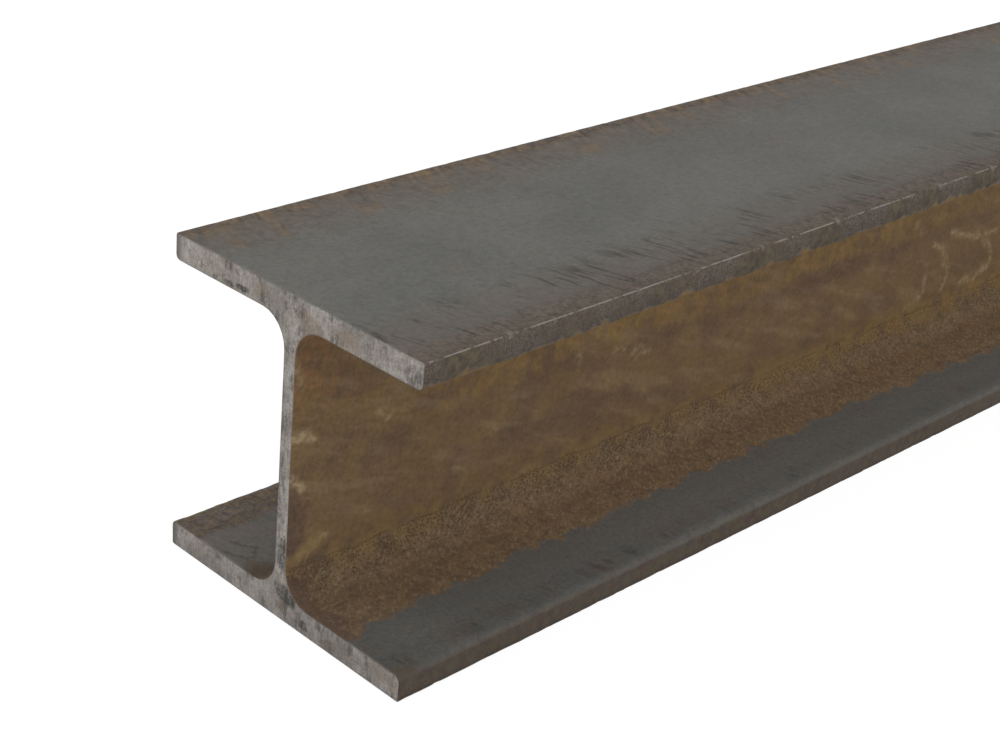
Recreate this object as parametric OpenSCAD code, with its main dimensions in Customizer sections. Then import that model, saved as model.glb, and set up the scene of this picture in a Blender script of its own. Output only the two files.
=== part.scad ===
// Wide-flange H-section: one hot-rolled length of steel with two equal parallel flanges
// joined by a web, round roots where they meet, rounded toes, and both ends sawn square.
// Section HEB 160: 160 x 160 x 8 x 13, root radius 15, 42.6 kg per metre.
//
// Millimetres. +X runs along the beam, +Z up. The beam lies on its bottom flange, and the
// origin is at the middle of its underside.

/* [Length] */
// Length of the beam from one sawn end to the other
beam_length = 1000; // [200:50:12000]

/* [Rolled section] */
// Depth of the section, over the outer faces of both flanges
section_depth = 160; // [90:1:320]
// Width of each flange, from toe to toe
flange_width = 160; // [90:1:320]
// Thickness of the web
web_thickness = 8; // [5:0.5:21]
// Thickness of each flange
flange_thickness = 13; // [8:0.5:26]

/* [Radii left by the rolls] */
// Radius of the root between the web and a flange
root_radius = 15; // [5:0.5:24]
// Radius of a flange's toe, on its inner corner
toe_radius = 3; // [1:0.25:4]
// Radius of a flange's toe, on its outer corner
corner_radius = 1.5; // [0.5:0.25:3]

/* [Hidden] */
$fn = 96;

// Height of the clear web, between the inner faces of the flanges
web_height = section_depth - 2 * flange_thickness;
// Overhang of a flange beyond the face of the web
flange_overhang = (flange_width - web_thickness) / 2;
// How far a blend's block runs into the steel that it joins, so that nothing only touches
lap = 1;

mill_scale_grey = [0.36, 0.36, 0.35];

// Quarter of a corner that lies outside a round of radius r: the block from the round's two
// tangent points out to the corner, less the round. The corner is at the origin, the round is
// centred at [-r, -r], and the block runs on past the corner by over on both sides.
module corner_block(r, over) {
    difference() {
        translate([-r, -r]) square(r + over);
        translate([-r, -r]) circle(r = r);
    }
}

// Steel left by the root radius, in the corner between a flange above and the web at the left.
// The corner of the two faces is at the origin.
module root_fillet(r) {
    mirror([1, 0]) corner_block(r, lap);
}

// One flange lying flat: its outer face is at the top, at y = 0, and its inner face below. The
// two outer corners keep the small radius of the closed pass, the two inner ones the toe radius.
module flange_profile() {
    difference() {
        translate([-flange_width / 2, -flange_thickness]) square([flange_width, flange_thickness]);
        for (side = [0, 1]) mirror([side, 0]) {
            translate([flange_width / 2, 0]) corner_block(corner_radius, lap);
            translate([flange_width / 2, -flange_thickness]) mirror([0, 1]) corner_block(toe_radius, lap);
        }
    }
}

// Upper half of the section, from mid-height to the outer face of the top flange
module half_section() {
    translate([0, section_depth / 2]) flange_profile();
    translate([-web_thickness / 2, -lap]) square([web_thickness, web_height / 2 + 2 * lap]);
    for (side = [0, 1]) mirror([side, 0])
        translate([web_thickness / 2, web_height / 2]) root_fillet(root_radius);
}

// The whole rolled section about its centre: both halves come from one pair of rolls
module rolled_section() {
    half_section();
    mirror([0, 1]) half_section();
}

// The beam: the section drawn out along X and sawn square at both ends
module h_beam() {
    color(mill_scale_grey)
        translate([-beam_length / 2, 0, section_depth / 2])
            rotate([90, 0, 90])
                linear_extrude(height = beam_length)
                    rolled_section();
}

h_beam();
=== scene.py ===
"""Looks of a steel H-beam: the rolled section with its mill scale, rust and sawn ends.

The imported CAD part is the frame. The beam is drawn again here as one closed mesh of the same
section, fine enough to carry the relief of a rolled bar, and stands for the CAD node. Meshes
are in metres in the part's own frame: +X along the beam, +Z up, the origin at the middle of the
underside. The section and the finishes are given in millimetres.
"""
from __future__ import annotations

import logging
import math
from dataclasses import dataclass
from enum import Enum
from functools import cached_property, reduce
from typing import Any, Union

import bpy
from mathutils import Matrix, Vector

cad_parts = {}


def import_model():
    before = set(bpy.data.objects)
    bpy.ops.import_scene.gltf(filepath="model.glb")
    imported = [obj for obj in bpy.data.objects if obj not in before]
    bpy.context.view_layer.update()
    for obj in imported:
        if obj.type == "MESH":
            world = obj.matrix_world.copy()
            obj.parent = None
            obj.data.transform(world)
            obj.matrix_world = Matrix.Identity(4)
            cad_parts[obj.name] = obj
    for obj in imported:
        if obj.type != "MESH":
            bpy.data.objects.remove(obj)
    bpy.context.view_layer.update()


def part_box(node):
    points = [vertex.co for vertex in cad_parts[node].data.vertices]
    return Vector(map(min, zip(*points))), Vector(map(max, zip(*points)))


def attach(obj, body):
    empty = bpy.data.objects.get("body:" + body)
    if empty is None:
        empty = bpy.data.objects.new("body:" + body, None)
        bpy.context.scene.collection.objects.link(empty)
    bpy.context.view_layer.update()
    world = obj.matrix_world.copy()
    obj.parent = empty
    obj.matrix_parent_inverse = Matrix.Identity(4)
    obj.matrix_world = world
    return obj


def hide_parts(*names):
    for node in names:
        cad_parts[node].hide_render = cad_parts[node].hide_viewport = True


LOG = logging.getLogger("h_beam")
MM = 0.001
SEED_STEP = (131.7, 57.3, 91.1)
Place = tuple[float, float]
Colour = tuple[float, float, float]
Amount = Union["Signal", float]
Tint = Union["Signal", Colour]
WHITE: Colour = (1.0, 1.0, 1.0)


class Op(Enum):
    """Operations of the Math node."""

    ADD = "ADD"
    SUBTRACT = "SUBTRACT"
    MULTIPLY = "MULTIPLY"
    DIVIDE = "DIVIDE"
    ABSOLUTE = "ABSOLUTE"
    GREATER = "GREATER_THAN"
    LESS = "LESS_THAN"
    MODULO = "FLOORED_MODULO"
    FLOOR = "FLOOR"
    LEAST = "MINIMUM"
    MOST = "MAXIMUM"
    ROOT = "SQRT"


class VectorOp(Enum):
    """Operations of the Vector Math node."""

    ADD = "ADD"
    MULTIPLY = "MULTIPLY"
    MULTIPLY_ADD = "MULTIPLY_ADD"
    SCALE = "SCALE"
    DISTANCE = "DISTANCE"
    DOT = "DOT_PRODUCT"
    NORMALIZE = "NORMALIZE"


class Input(Enum):
    """Kinds of input of a geometry node tree."""

    GEOMETRY = "NodeSocketGeometry"
    NUMBER = "NodeSocketFloat"
    COUNT = "NodeSocketInt"
    MATERIAL = "NodeSocketMaterial"


class Signal:
    """An output socket that can be used in arithmetic, which adds Math nodes to its tree."""

    def __init__(self, graph: Graph, socket: bpy.types.NodeSocket) -> None:
        """Wraps one output socket of a graph."""
        self.graph = graph
        self.socket = socket

    def _math(self, operation: Op, *values: Amount) -> Signal:
        """Adds a Math node.

        Args:
            operation: The Math node's operation.
            values: Its inputs in order, as signals or numbers.

        Returns:
            The node's result.
        """
        settings = {"operation": operation.value}
        return self.graph.node("ShaderNodeMath", settings, dict(enumerate(values)))[0]

    def __add__(self, other: Amount) -> Signal:
        """self + other."""
        return self._math(Op.ADD, self, other)

    def __radd__(self, other: Amount) -> Signal:
        """other + self."""
        return self._math(Op.ADD, other, self)

    def __sub__(self, other: Amount) -> Signal:
        """self - other."""
        return self._math(Op.SUBTRACT, self, other)

    def __rsub__(self, other: Amount) -> Signal:
        """other - self."""
        return self._math(Op.SUBTRACT, other, self)

    def __mul__(self, other: Amount) -> Signal:
        """self * other."""
        return self._math(Op.MULTIPLY, self, other)

    def __rmul__(self, other: Amount) -> Signal:
        """other * self."""
        return self._math(Op.MULTIPLY, other, self)

    def __truediv__(self, other: Amount) -> Signal:
        """self / other."""
        return self._math(Op.DIVIDE, self, other)

    def __rtruediv__(self, other: Amount) -> Signal:
        """other / self."""
        return self._math(Op.DIVIDE, other, self)

    def __neg__(self) -> Signal:
        """-self."""
        return self._math(Op.MULTIPLY, self, -1.0)

    def __abs__(self) -> Signal:
        """The absolute value."""
        return self._math(Op.ABSOLUTE, self)

    def __gt__(self, other: Amount) -> Signal:
        """1 where self is greater than other, else 0."""
        return self._math(Op.GREATER, self, other)

    def __lt__(self, other: Amount) -> Signal:
        """1 where self is less than other, else 0."""
        return self._math(Op.LESS, self, other)

    def __mod__(self, other: Amount) -> Signal:
        """self modulo other, never negative."""
        return self._math(Op.MODULO, self, other)

    def floor(self) -> Signal:
        """The next whole number below."""
        return self._math(Op.FLOOR, self)

    def least(self, other: Amount) -> Signal:
        """The smaller of self and other."""
        return self._math(Op.LEAST, self, other)

    def most(self, other: Amount) -> Signal:
        """The larger of self and other."""
        return self._math(Op.MOST, self, other)

    def hypot(self, other: Signal) -> Signal:
        """The length of the vector (self, other)."""
        return self._math(Op.ROOT, self * self + other * other)

    def rise(self, low: Amount, high: Amount) -> Signal:
        """Goes smoothly from 0 at low to 1 at high.

        Args:
            low: Where the result leaves 0.
            high: Where it reaches 1.

        Returns:
            The eased value, held at 0 and 1 outside the range.
        """
        settings = {"interpolation_type": "SMOOTHSTEP", "clamp": True}
        values = {"Value": self, "From Min": low, "From Max": high}
        return self.graph.node("ShaderNodeMapRange", settings, values)[0]

    def fall(self, low: Amount, high: Amount) -> Signal:
        """Goes smoothly from 1 at low to 0 at high: the reverse of rise."""
        return 1.0 - self.rise(low, high)


class Outputs:
    """The outputs of one node, by name or by index."""

    def __init__(self, graph: Graph, node: bpy.types.Node) -> None:
        """Wraps a node of a graph."""
        self.graph = graph
        self.node = node

    def __getitem__(self, key: int | str) -> Signal:
        """One output as a signal.

        Args:
            key: Its name, or its place among the sockets in use.

        Returns:
            The output.
        """
        if isinstance(key, int):
            live = [s for s in self.node.outputs if s.enabled]
            return Signal(self.graph, live[key])
        return Signal(self.graph, self.node.outputs[key])


class Graph:
    """A node tree under construction, for a material or for geometry."""

    def __init__(self, tree: bpy.types.NodeTree) -> None:
        """Starts work on a tree."""
        self.tree = tree

    def node(self, kind: str, settings: dict[str, Any] | None = None,
             inputs: dict[int | str, Any] | None = None) -> Outputs:
        """Adds a node: its settings first, then the values or links of its sockets.

        Args:
            kind: The node's type.
            settings: Properties such as an operation or a data type.
            inputs: Values or signals by the socket's name, or by its place among the sockets
                in use.

        Returns:
            The node's outputs.
        """
        made = self.tree.nodes.new(kind)
        for name, value in (settings or {}).items():
            setattr(made, name, value)
        live = [s for s in made.inputs if s.enabled]
        for key, value in (inputs or {}).items():
            socket = live[key] if isinstance(key, int) else made.inputs[key]
            if isinstance(value, Signal):
                self.tree.links.new(value.socket, socket)
            elif isinstance(value, tuple) and socket.type == "RGBA" and len(value) == 3:
                socket.default_value = (*value, 1.0)
            else:
                socket.default_value = value
        return Outputs(self, made)

    def vector(self, operation: VectorOp, *values: Any, **named: Any) -> Signal:
        """Adds a Vector Math node.

        Args:
            operation: The node's operation.
            values: Its inputs in order.
            named: Inputs by name, such as Scale.

        Returns:
            Its result: the vector, or the number that the operation gives.
        """
        settings = {"operation": operation.value}
        return self.node("ShaderNodeVectorMath", settings, {**dict(enumerate(values)), **named})[0]

    def split(self, vector: Signal) -> tuple[Signal, Signal, Signal]:
        """The three components of a vector."""
        parts = self.node("ShaderNodeSeparateXYZ", {}, {0: vector})
        return parts[0], parts[1], parts[2]

    def join(self, x: Amount, y: Amount, z: Amount) -> Signal:
        """A vector of three numbers or signals."""
        return self.node("ShaderNodeCombineXYZ", {}, {0: x, 1: y, 2: z})[0]

    def noise(self, at: Signal, size: float, detail: float = 2.0, rough: float = 0.5,
              seed: float = 0.0) -> Signal:
        """Soft noise about 0.5.

        Args:
            at: Where, in the units of size.
            size: The size of its largest lumps.
            detail: How many finer octaves are added.
            rough: How strong the finer octaves are.
            seed: Shifts the pattern to another part of the noise.

        Returns:
            The noise.
        """
        shift = tuple(seed * step for step in SEED_STEP)
        place = self.vector(VectorOp.ADD, at, shift) if seed else at
        values = {"Vector": place, "Scale": 1.0 / size, "Detail": detail, "Roughness": rough}
        return self.node("ShaderNodeTexNoise", {}, values)[0]

    def cells(self, across: Signal, along: Signal, size: float, jitter: float = 1.0) -> Signal:
        """The distance to the nearest of many points scattered over a surface.

        Args:
            across: One coordinate on the surface, in the units of size.
            along: The other.
            size: The mean spacing of the points.
            jitter: How irregular the spacing is.

        Returns:
            The distance, as a share of size.
        """
        spot = self.join(across, along, 0.0)
        values = {"Vector": spot, "Scale": 1.0 / size, "Randomness": jitter}
        return self.node("ShaderNodeTexVoronoi", {"voronoi_dimensions": "2D"}, values)["Distance"]


@dataclass(frozen=True)
class Coat:
    """What one layer of a finish looks like: colour, roughness, metallic."""

    colour: Tint
    rough: Amount
    metal: Amount


@dataclass(frozen=True)
class Spot:
    """A soft oval mark: its middle, its half-widths and how strongly it shows."""

    across: float
    along: float
    wide: float
    tall: float
    strength: float = 1.0


@dataclass(frozen=True)
class Trail:
    """A drawn mark: how strongly it shows and the corners of its line."""

    strength: float
    corners: tuple[Place, ...]


@dataclass(frozen=True)
class Section:
    """The rolled section and the length it is sawn to, in millimetres."""

    length: float = 1000.0
    depth: float = 160.0
    width: float = 160.0
    web: float = 8.0
    flange: float = 13.0
    root_radius: float = 15.0
    toe_radius: float = 3.0
    corner_radius: float = 1.5

    @property
    def reach(self) -> float:
        """How far the toes lie from the middle plane of the web."""
        return self.width / 2

    @property
    def middle(self) -> float:
        """The height of the middle of the web."""
        return self.depth / 2

    @property
    def inner_face(self) -> float:
        """How far the flanges' inner faces lie from mid-height."""
        return self.middle - self.flange

    @property
    def web_face(self) -> float:
        """How far the web's faces lie from its middle plane."""
        return self.web / 2

    def corners(self) -> list[tuple[float, float, float]]:
        """The section's twelve corners in order round its outline.

        Returns:
            The y and z of each corner, and the radius that rounds it.
        """
        half, wall = self.reach, self.web_face
        low, high, top = self.flange, self.depth - self.flange, self.depth
        right = [
            (half, top, self.corner_radius), (half, high, self.toe_radius),
            (wall, high, self.root_radius), (wall, low, self.root_radius),
            (half, low, self.toe_radius), (half, 0.0, self.corner_radius),
        ]
        left = [(-y, z, radius) for y, z, radius in reversed(right)]
        return right + left


@dataclass(frozen=True)
class Site:
    """Where a point of the surface lies in the section, in millimetres, with soft masks of it."""

    section: Section
    x: Signal
    y: Signal
    z: Signal

    @cached_property
    def out(self) -> Signal:
        """The distance from the web's middle plane."""
        return abs(self.y)

    @cached_property
    def up(self) -> Signal:
        """The distance from mid-height."""
        return abs(self.z - self.section.middle)

    @cached_property
    def edge(self) -> Signal:
        """The distance from the toes."""
        return self.section.reach - self.out

    @cached_property
    def left(self) -> Signal:
        """1 on the left side of the web, 0 on the right."""
        return self.y.rise(-2.0, 2.0)

    @cached_property
    def right(self) -> Signal:
        """1 on the right side of the web, 0 on the left."""
        return 1.0 - self.left

    @cached_property
    def upper(self) -> Signal:
        """1 in the upper half, 0 in the lower."""
        return self.z.rise(self.section.middle, self.section.middle + 10.0)

    @cached_property
    def lower(self) -> Signal:
        """1 in the lower half, 0 in the upper."""
        return 1.0 - self.upper

    @cached_property
    def outer(self) -> Signal:
        """1 on the outer faces of the flanges, 0 on everything between them."""
        return self.up.rise(self.section.inner_face + 11.0, self.section.inner_face + 12.5)

    @cached_property
    def inner(self) -> Signal:
        """1 between the flanges' outer faces, 0 on those."""
        return 1.0 - self.outer


@dataclass(frozen=True)
class Grain:
    """Noise that several layers of the skin share, from the finest to the coarsest."""

    speckle: Signal
    rod: Signal
    mottle: Signal
    dapple: Signal
    tint: Signal


class Paint(Graph):
    """The node tree of one material."""

    def __init__(self, name: str) -> None:
        """Makes an empty material.

        Args:
            name: The material's name.
        """
        self.material = bpy.data.materials.new(name)
        self.material.use_nodes = True
        self.material.node_tree.nodes.clear()
        super().__init__(self.material.node_tree)
        spot = self.node("ShaderNodeTexCoord")["Object"]
        self.at = self.vector(VectorOp.SCALE, spot, Scale=1.0 / MM)

    def site(self, section: Section) -> Site:
        """The place in the section.

        Args:
            section: The section.

        Returns:
            The coordinates before the relief was added.
        """
        plain = self.node("ShaderNodeAttribute", {"attribute_name": "rolled"})["Vector"]
        x, y, z = self.split(self.vector(VectorOp.SCALE, plain, Scale=1.0 / MM))
        return Site(section, x, y, z)

    def mix(self, amount: Amount, below: Tint, above: Tint) -> Signal:
        """Lays one colour over another.

        Args:
            amount: How much of the upper colour shows, from 0 to 1.
            below: The lower colour.
            above: The upper colour.

        Returns:
            The mixed colour.
        """
        settings = {"data_type": "RGBA", "clamp_factor": True}
        return self.node("ShaderNodeMix", settings, {0: amount, 1: below, 2: above})[0]

    def shade(self, colour: Signal, amount: Amount) -> Signal:
        """Multiplies a colour by a grey value: below 1 darkens, above 1 lightens."""
        return self.vector(VectorOp.SCALE, colour, Scale=amount)

    def lay(self, mask: Signal, below: Coat, above: Coat) -> Coat:
        """Lays one coat over another.

        Args:
            mask: Where the upper coat shows, from 0 to 1.
            below: The lower coat.
            above: The upper coat.

        Returns:
            The two together.
        """
        def blend(low: Amount, high: Amount) -> Amount:
            """Mixes two values, unless they are one and the same."""
            return low if low is high else low + (high - low) * mask

        return Coat(self.mix(mask, below.colour, above.colour), blend(below.rough, above.rough),
                    blend(below.metal, above.metal))

    def oval(self, across: Signal, along: Signal, spot: Spot) -> Signal:
        """The distance from the middle of an oval mark: 1 where its half-widths end.

        Args:
            across: One coordinate on the surface.
            along: The other.
            spot: The mark.

        Returns:
            The distance.
        """
        return ((across - spot.across) / spot.wide).hypot((along - spot.along) / spot.tall)

    def stroke(self, trail: Trail, at: Signal) -> Signal:
        """The distance to a drawn line.

        Args:
            trail: The line. Its corners are places in the plane of X and Z.
            at: The place, perhaps bent by noise.

        Returns:
            The distance to the nearest of the line's straight parts.
        """
        gaps = []
        for (x, z), (next_x, next_z) in zip(trail.corners, trail.corners[1:]):
            start, run = Vector((x, 0.0, z)), Vector((next_x - x, 0.0, next_z - z))
            slope = run / run.length_squared
            along = self.vector(VectorOp.DOT, at, tuple(slope))
            settings = {"operation": Op.SUBTRACT.value, "use_clamp": True}
            share = self.node("ShaderNodeMath", settings, {0: along, 1: start.dot(slope)})[0]
            nearest = self.vector(VectorOp.MULTIPLY_ADD, share, tuple(run), tuple(start))
            gaps.append(self.vector(VectorOp.DISTANCE, at, nearest))
        return reduce(Signal.least, gaps)

    def finish(self, coat: Coat, height: Signal, **fixed: float) -> bpy.types.Material:
        """Ends the tree in a Principled BSDF.

        Args:
            coat: The finished coat.
            height: The relief, in millimetres.
            fixed: Values set on the shader's own sockets, with _ for a space in their names.

        Returns:
            The finished material.
        """
        relief = {"Strength": 1.0, "Distance": MM, "Height": height}
        bump = self.node("ShaderNodeBump", {}, relief)[0]
        values = {
            "Base Color": coat.colour, "Roughness": coat.rough, "Metallic": coat.metal,
            "Normal": bump,
        }
        values.update({name.replace("_", " "): value for name, value in fixed.items()})
        shader = self.node("ShaderNodeBsdfPrincipled", {}, values)[0]
        self.node("ShaderNodeOutputMaterial", {}, {"Surface": shader})
        return self.material


@dataclass(frozen=True)
class RolledSkin:
    """Finish of the rolled surfaces: blue-grey mill scale, rust over the web and roots, dark toes.

    Places are in millimetres in the part's frame: the sawn end that is seen first lies at the
    lowest X. band is the width of the rusty bands and finger how far its fingers reach in.
    border is how far out the rust reaches over the flanges, border_left how much less it does on
    the left, and border_step the length of its steps. pit_height is where the belt of pits lies
    on the web. slant is the cosine and sine of the web's drawn-out clouds.
    """

    section: Section
    band: float = 13.0
    finger: float = 17.0
    border: float = 39.3
    border_left: float = 20.3
    border_step: float = 27.0
    pit_height: float = 25.5
    pit_spacing: float = 2.3
    fleck_spacing: float = 7.0
    slant: tuple[float, float] = (0.94, 0.34)
    slate: Colour = (0.112, 0.111, 0.100)
    slate_pale: Colour = (0.132, 0.130, 0.116)
    slate_warm: Colour = (0.138, 0.117, 0.102)
    slate_brown: Colour = (0.120, 0.099, 0.080)
    slate_dark: Colour = (0.062, 0.061, 0.057)
    steel_blue: Colour = (0.163, 0.161, 0.150)
    steel_warm: Colour = (0.136, 0.125, 0.112)
    stain_red: Colour = (0.168, 0.132, 0.120)
    band_brown: Colour = (0.108, 0.081, 0.061)
    band_dark: Colour = (0.070, 0.052, 0.040)
    band_orange: Colour = (0.176, 0.116, 0.062)
    band_low: Colour = (0.138, 0.109, 0.084)
    toe_dark: Colour = (0.067, 0.050, 0.038)
    toe_grey: Colour = (0.139, 0.111, 0.088)
    toe_olive: Colour = (0.118, 0.092, 0.056)
    toe_plum: Colour = (0.096, 0.064, 0.050)
    toe_pale: Colour = (0.225, 0.200, 0.160)
    # worn: pale colour of the worn corners, laid on them with a painted highlight.
    worn: Colour = (0.380, 0.350, 0.325)
    rust: Colour = (0.178, 0.109, 0.056)
    rust_olive: Colour = (0.190, 0.122, 0.055)
    rust_plum: Colour = (0.148, 0.093, 0.054)
    rust_orange: Colour = (0.243, 0.147, 0.051)
    rust_red: Colour = (0.255, 0.118, 0.048)
    rust_gold: Colour = (0.270, 0.175, 0.062)
    burnt: Colour = (0.092, 0.056, 0.046)
    bloom: Colour = (0.390, 0.290, 0.165)
    haze: Colour = (0.250, 0.176, 0.104)
    crust_dark: Colour = (0.146, 0.096, 0.056)
    crust_mid: Colour = (0.236, 0.158, 0.090)
    crust_pale: Colour = (0.370, 0.265, 0.155)
    chalk: Colour = (0.262, 0.208, 0.152)
    pit: Colour = (0.066, 0.038, 0.018)
    blooms: tuple[Trail, ...] = (
        Trail(0.6, ((-501.0, 128.0), (-496.0, 118.0))),
        Trail(0.9, ((-502.0, 98.0), (-487.0, 88.0))),
        Trail(1.0, ((-501.0, 75.0), (-493.0, 68.0))),
        Trail(0.7, ((-501.0, 36.0), (-488.0, 32.0), (-478.0, 39.0))),
        Trail(0.5, ((-450.0, 92.0), (-443.0, 88.0))),
        Trail(0.5, ((-397.0, 44.0), (-392.0, 42.0))),
        Trail(0.4, ((-316.0, 83.0), (-316.0, 78.0))),
        Trail(0.5, ((-288.0, 77.0), (-276.0, 73.0), (-262.0, 70.0))),
        Trail(0.5, ((-20.0, 88.0), (-15.0, 78.0))),
        Trail(0.7, ((-16.0, 33.0), (0.0, 36.0), (0.0, 47.0))),
        Trail(1.0, ((2.0, 69.0), (16.0, 61.0), (26.0, 46.0), (23.0, 36.0))),
        Trail(1.3, ((21.0, 72.0), (42.0, 66.0), (58.0, 61.0), (72.0, 50.0), (76.0, 42.0),
                    (60.0, 33.0), (45.0, 33.0))),
        Trail(0.9, ((56.0, 63.0), (76.0, 62.0))),
        Trail(1.6, ((73.0, 38.0), (62.0, 34.0))),
        Trail(0.6, ((236.0, 50.0), (252.0, 70.0), (280.0, 74.0))),
    )
    sweep: Trail = Trail(0.5, ((-501.0, 30.0), (-483.0, 37.0)))
    scars: Trail = Trail(0.65, ((-498.0, 42.0), (-494.0, 33.0), (-489.0, 31.0), (-484.0, 36.0),
                                (-488.0, 42.0), (-490.0, 48.0)))
    dark_patches: tuple[Spot, ...] = (
        Spot(14.0, 75.0, 14.0, 5.0), Spot(90.0, 75.0, 40.0, 6.0), Spot(50.0, 46.0, 15.0, 8.0),
        Spot(-330.0, 52.0, 60.0, 9.0), Spot(-110.0, 75.0, 80.0, 6.0),
    )

    def build(self) -> bpy.types.Material:
        """Builds the material.

        Returns:
            The material of every rolled surface.
        """
        p = Paint("rolled_skin")
        s = p.site(self.section)
        n = self._grain(p)
        folds, strength = self._folds(p, s)
        coat = self._scale(p, s, n, folds.rise(0.50, 0.66) * strength)
        coat = p.lay(self._cover(p, s, n), coat, self._rust(p, s, n))
        coat = self._toes(p, s, n, coat)
        inner = self.section.inner_face
        crust = s.out.fall(34.0, 44.0) * s.out.rise(5.0, 9.0) * s.up.fall(inner + 2.0, inner + 3.0)
        toe = s.out.rise(self.section.reach - 1.0, self.section.reach - 0.5)
        height = (n.mottle - 0.5) * 0.16 - folds * strength * 0.5
        height = height + (n.rod - 0.5) * 0.42 * crust + (n.speckle - 0.5) * 0.5 * toe
        return p.finish(coat, height, Specular_IOR_Level=0.35)

    @staticmethod
    def _grain(p: Paint) -> Grain:
        """The noise that the layers of the skin share.

        Args:
            p: The material's tree.

        Returns:
            The noise, from fine to coarse.
        """
        return Grain(
            speckle=p.noise(p.at, 1.0, 1.0, 0.5, seed=23),
            rod=p.noise(p.at, 1.3, 2.0, 0.7, seed=19),
            mottle=p.noise(p.at, 2.0, 2.0, 0.6, seed=1),
            dapple=p.noise(p.at, 5.0, 2.0, 0.6, seed=15),
            tint=p.noise(p.at, 19.0, 3.0, 0.6, seed=3),
        )

    @staticmethod
    def _folds(p: Paint, s: Site) -> tuple[Signal, Signal]:
        """Ripples: shallow folds in the scale that run across the flanges in loose bunches.

        Args:
            p: The material's tree.
            s: The place.

        Returns:
            The folds' noise and how strong it is.
        """
        bend = (p.noise(p.at, 24.0, 1.0, seed=8) - 0.5) * 9.0
        folds = p.noise(p.join(s.x + bend + s.y * 0.25, s.y * 0.10, s.z), 2.8, 1.0, 0.5, seed=9)
        right, left = s.inner * s.right, s.inner * s.left
        zone = s.edge.rise(1.0, 9.0) * s.edge.fall(28.0 - right * 20.0, 52.0 - right * 34.0)
        bunch = p.noise(p.at, 20.0, 1.0, 0.5, seed=10).rise(0.42, 0.58)
        calm = 1.0 - s.left * s.outer * 0.7 - left * 0.6 - right * 0.4
        return folds, zone * (0.16 + bunch * 0.84) * calm

    def _scale(self, p: Paint, s: Site, n: Grain, crease_shade: Signal) -> Coat:
        """Mill scale with its ripples, painted shade in their creases, and the rusty bands along
        the edges of the flanges.

        Args:
            p: The material's tree.
            s: The place.
            n: The shared noise.
            crease_shade: Painted shade in the ripples' creases, where they darken it.

        Returns:
            The scale.
        """
        rusty = p.noise(p.at, 8.0, 2.0, 0.6, seed=6)
        torn = (p.noise(p.at, 21.0, 3.0, 0.65, seed=5) - 0.5) * 30.0 + (n.mottle - 0.5) * 9.0
        haze = (s.edge + torn).fall(16.0, 46.0) * s.left * s.outer
        width = self.band - s.left * s.outer * 4.0 + s.left * s.inner * 9.0
        width = width + torn * (0.3 + s.left * 0.2)
        band = (s.edge - width).fall(-3.5, 3.0) * s.outer.most(s.left)
        colour = p.mix(haze * 0.9, self._bare_colour(p, s, n), self.slate_brown)
        plan = p.join(s.x + (n.mottle - 0.5) * 5.0, 0.0, s.y + (n.dapple - 0.5) * 8.0)
        scars = p.stroke(self.scars, plan).fall(0.3, 1.6) * s.lower * self.scars.strength
        colour = p.mix(scars, colour, self.slate_dark)
        cover = band * (0.97 - s.left * s.outer * 0.25)
        colour = p.mix(cover, colour, self._band_colour(p, s, n, rusty))
        colour = self._fingers(p, s, n, rusty, colour)
        worn = s.edge.rise(1.0, 9.0) * s.edge.fall(24.0, 46.0) * (0.4 + rusty * 0.5)
        colour = p.mix(worn * s.outer * s.right, colour, self.slate_brown)
        grain = (n.mottle - 0.5) * (0.75 + band * 0.85) + (n.dapple - 0.5) * (0.3 + haze * 0.5)
        # Painted shade darkens the ripples' creases.
        colour = p.shade(colour, 1.0 + grain - crease_shade * 0.46)
        colour = self._weather_and_shade(p, s, n, colour)
        return Coat(colour, 0.58 + band * 0.16, 0.10 - band * 0.10)

    def _bare_colour(self, p: Paint, s: Site, n: Grain) -> Signal:
        """The plain scale: cloudy outside, paler and stained inside.

        Args:
            p: The material's tree.
            s: The place.
            n: The shared noise.

        Returns:
            Its colour.
        """
        cloud = p.noise(p.at, 70.0, 2.0, 0.5)
        outside = p.mix(cloud.rise(0.38, 0.66), self.slate, self.slate_pale)
        outside = p.mix(n.tint.rise(0.52, 0.72) * 0.4, outside, self.slate_warm)
        inside = p.mix(s.left, self.steel_blue, self.steel_warm)
        inside = p.mix(n.tint.rise(0.52, 0.66) * 0.45, inside, self.stain_red)
        return p.mix(s.outer, inside, outside)

    def _band_colour(self, p: Paint, s: Site, n: Grain, rusty: Signal) -> Signal:
        """The rusty band along the edges of the flanges, and the layered rust inside on the left.

        Args:
            p: The material's tree.
            s: The place.
            n: The shared noise.
            rusty: Noise that parts brown, orange and dark.

        Returns:
            Its colour.
        """
        outside = p.mix(rusty.rise(0.46, 0.66) * s.left, self.band_brown, self.band_orange)
        outside = p.mix(rusty.fall(0.3, 0.42), outside, self.band_dark)
        drawn = p.vector(VectorOp.MULTIPLY, p.at, (0.16, 1.0, 1.0))
        layer = p.noise(drawn, 3.4, 2.0, 0.6, seed=28)
        inside = p.mix(layer.rise(0.42, 0.58), self.band_brown, self.band_low)
        inside = p.mix(rusty.rise(0.54, 0.66) * 0.5, inside, self.toe_olive)
        inside = p.mix(n.tint.rise(0.48, 0.60) * s.left * 0.55, inside, self.stain_red)
        inside = p.mix(n.dapple.rise(0.50, 0.62) * s.left * 0.6, inside, self.rust_olive)
        return p.mix(s.outer, inside, outside)

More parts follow.
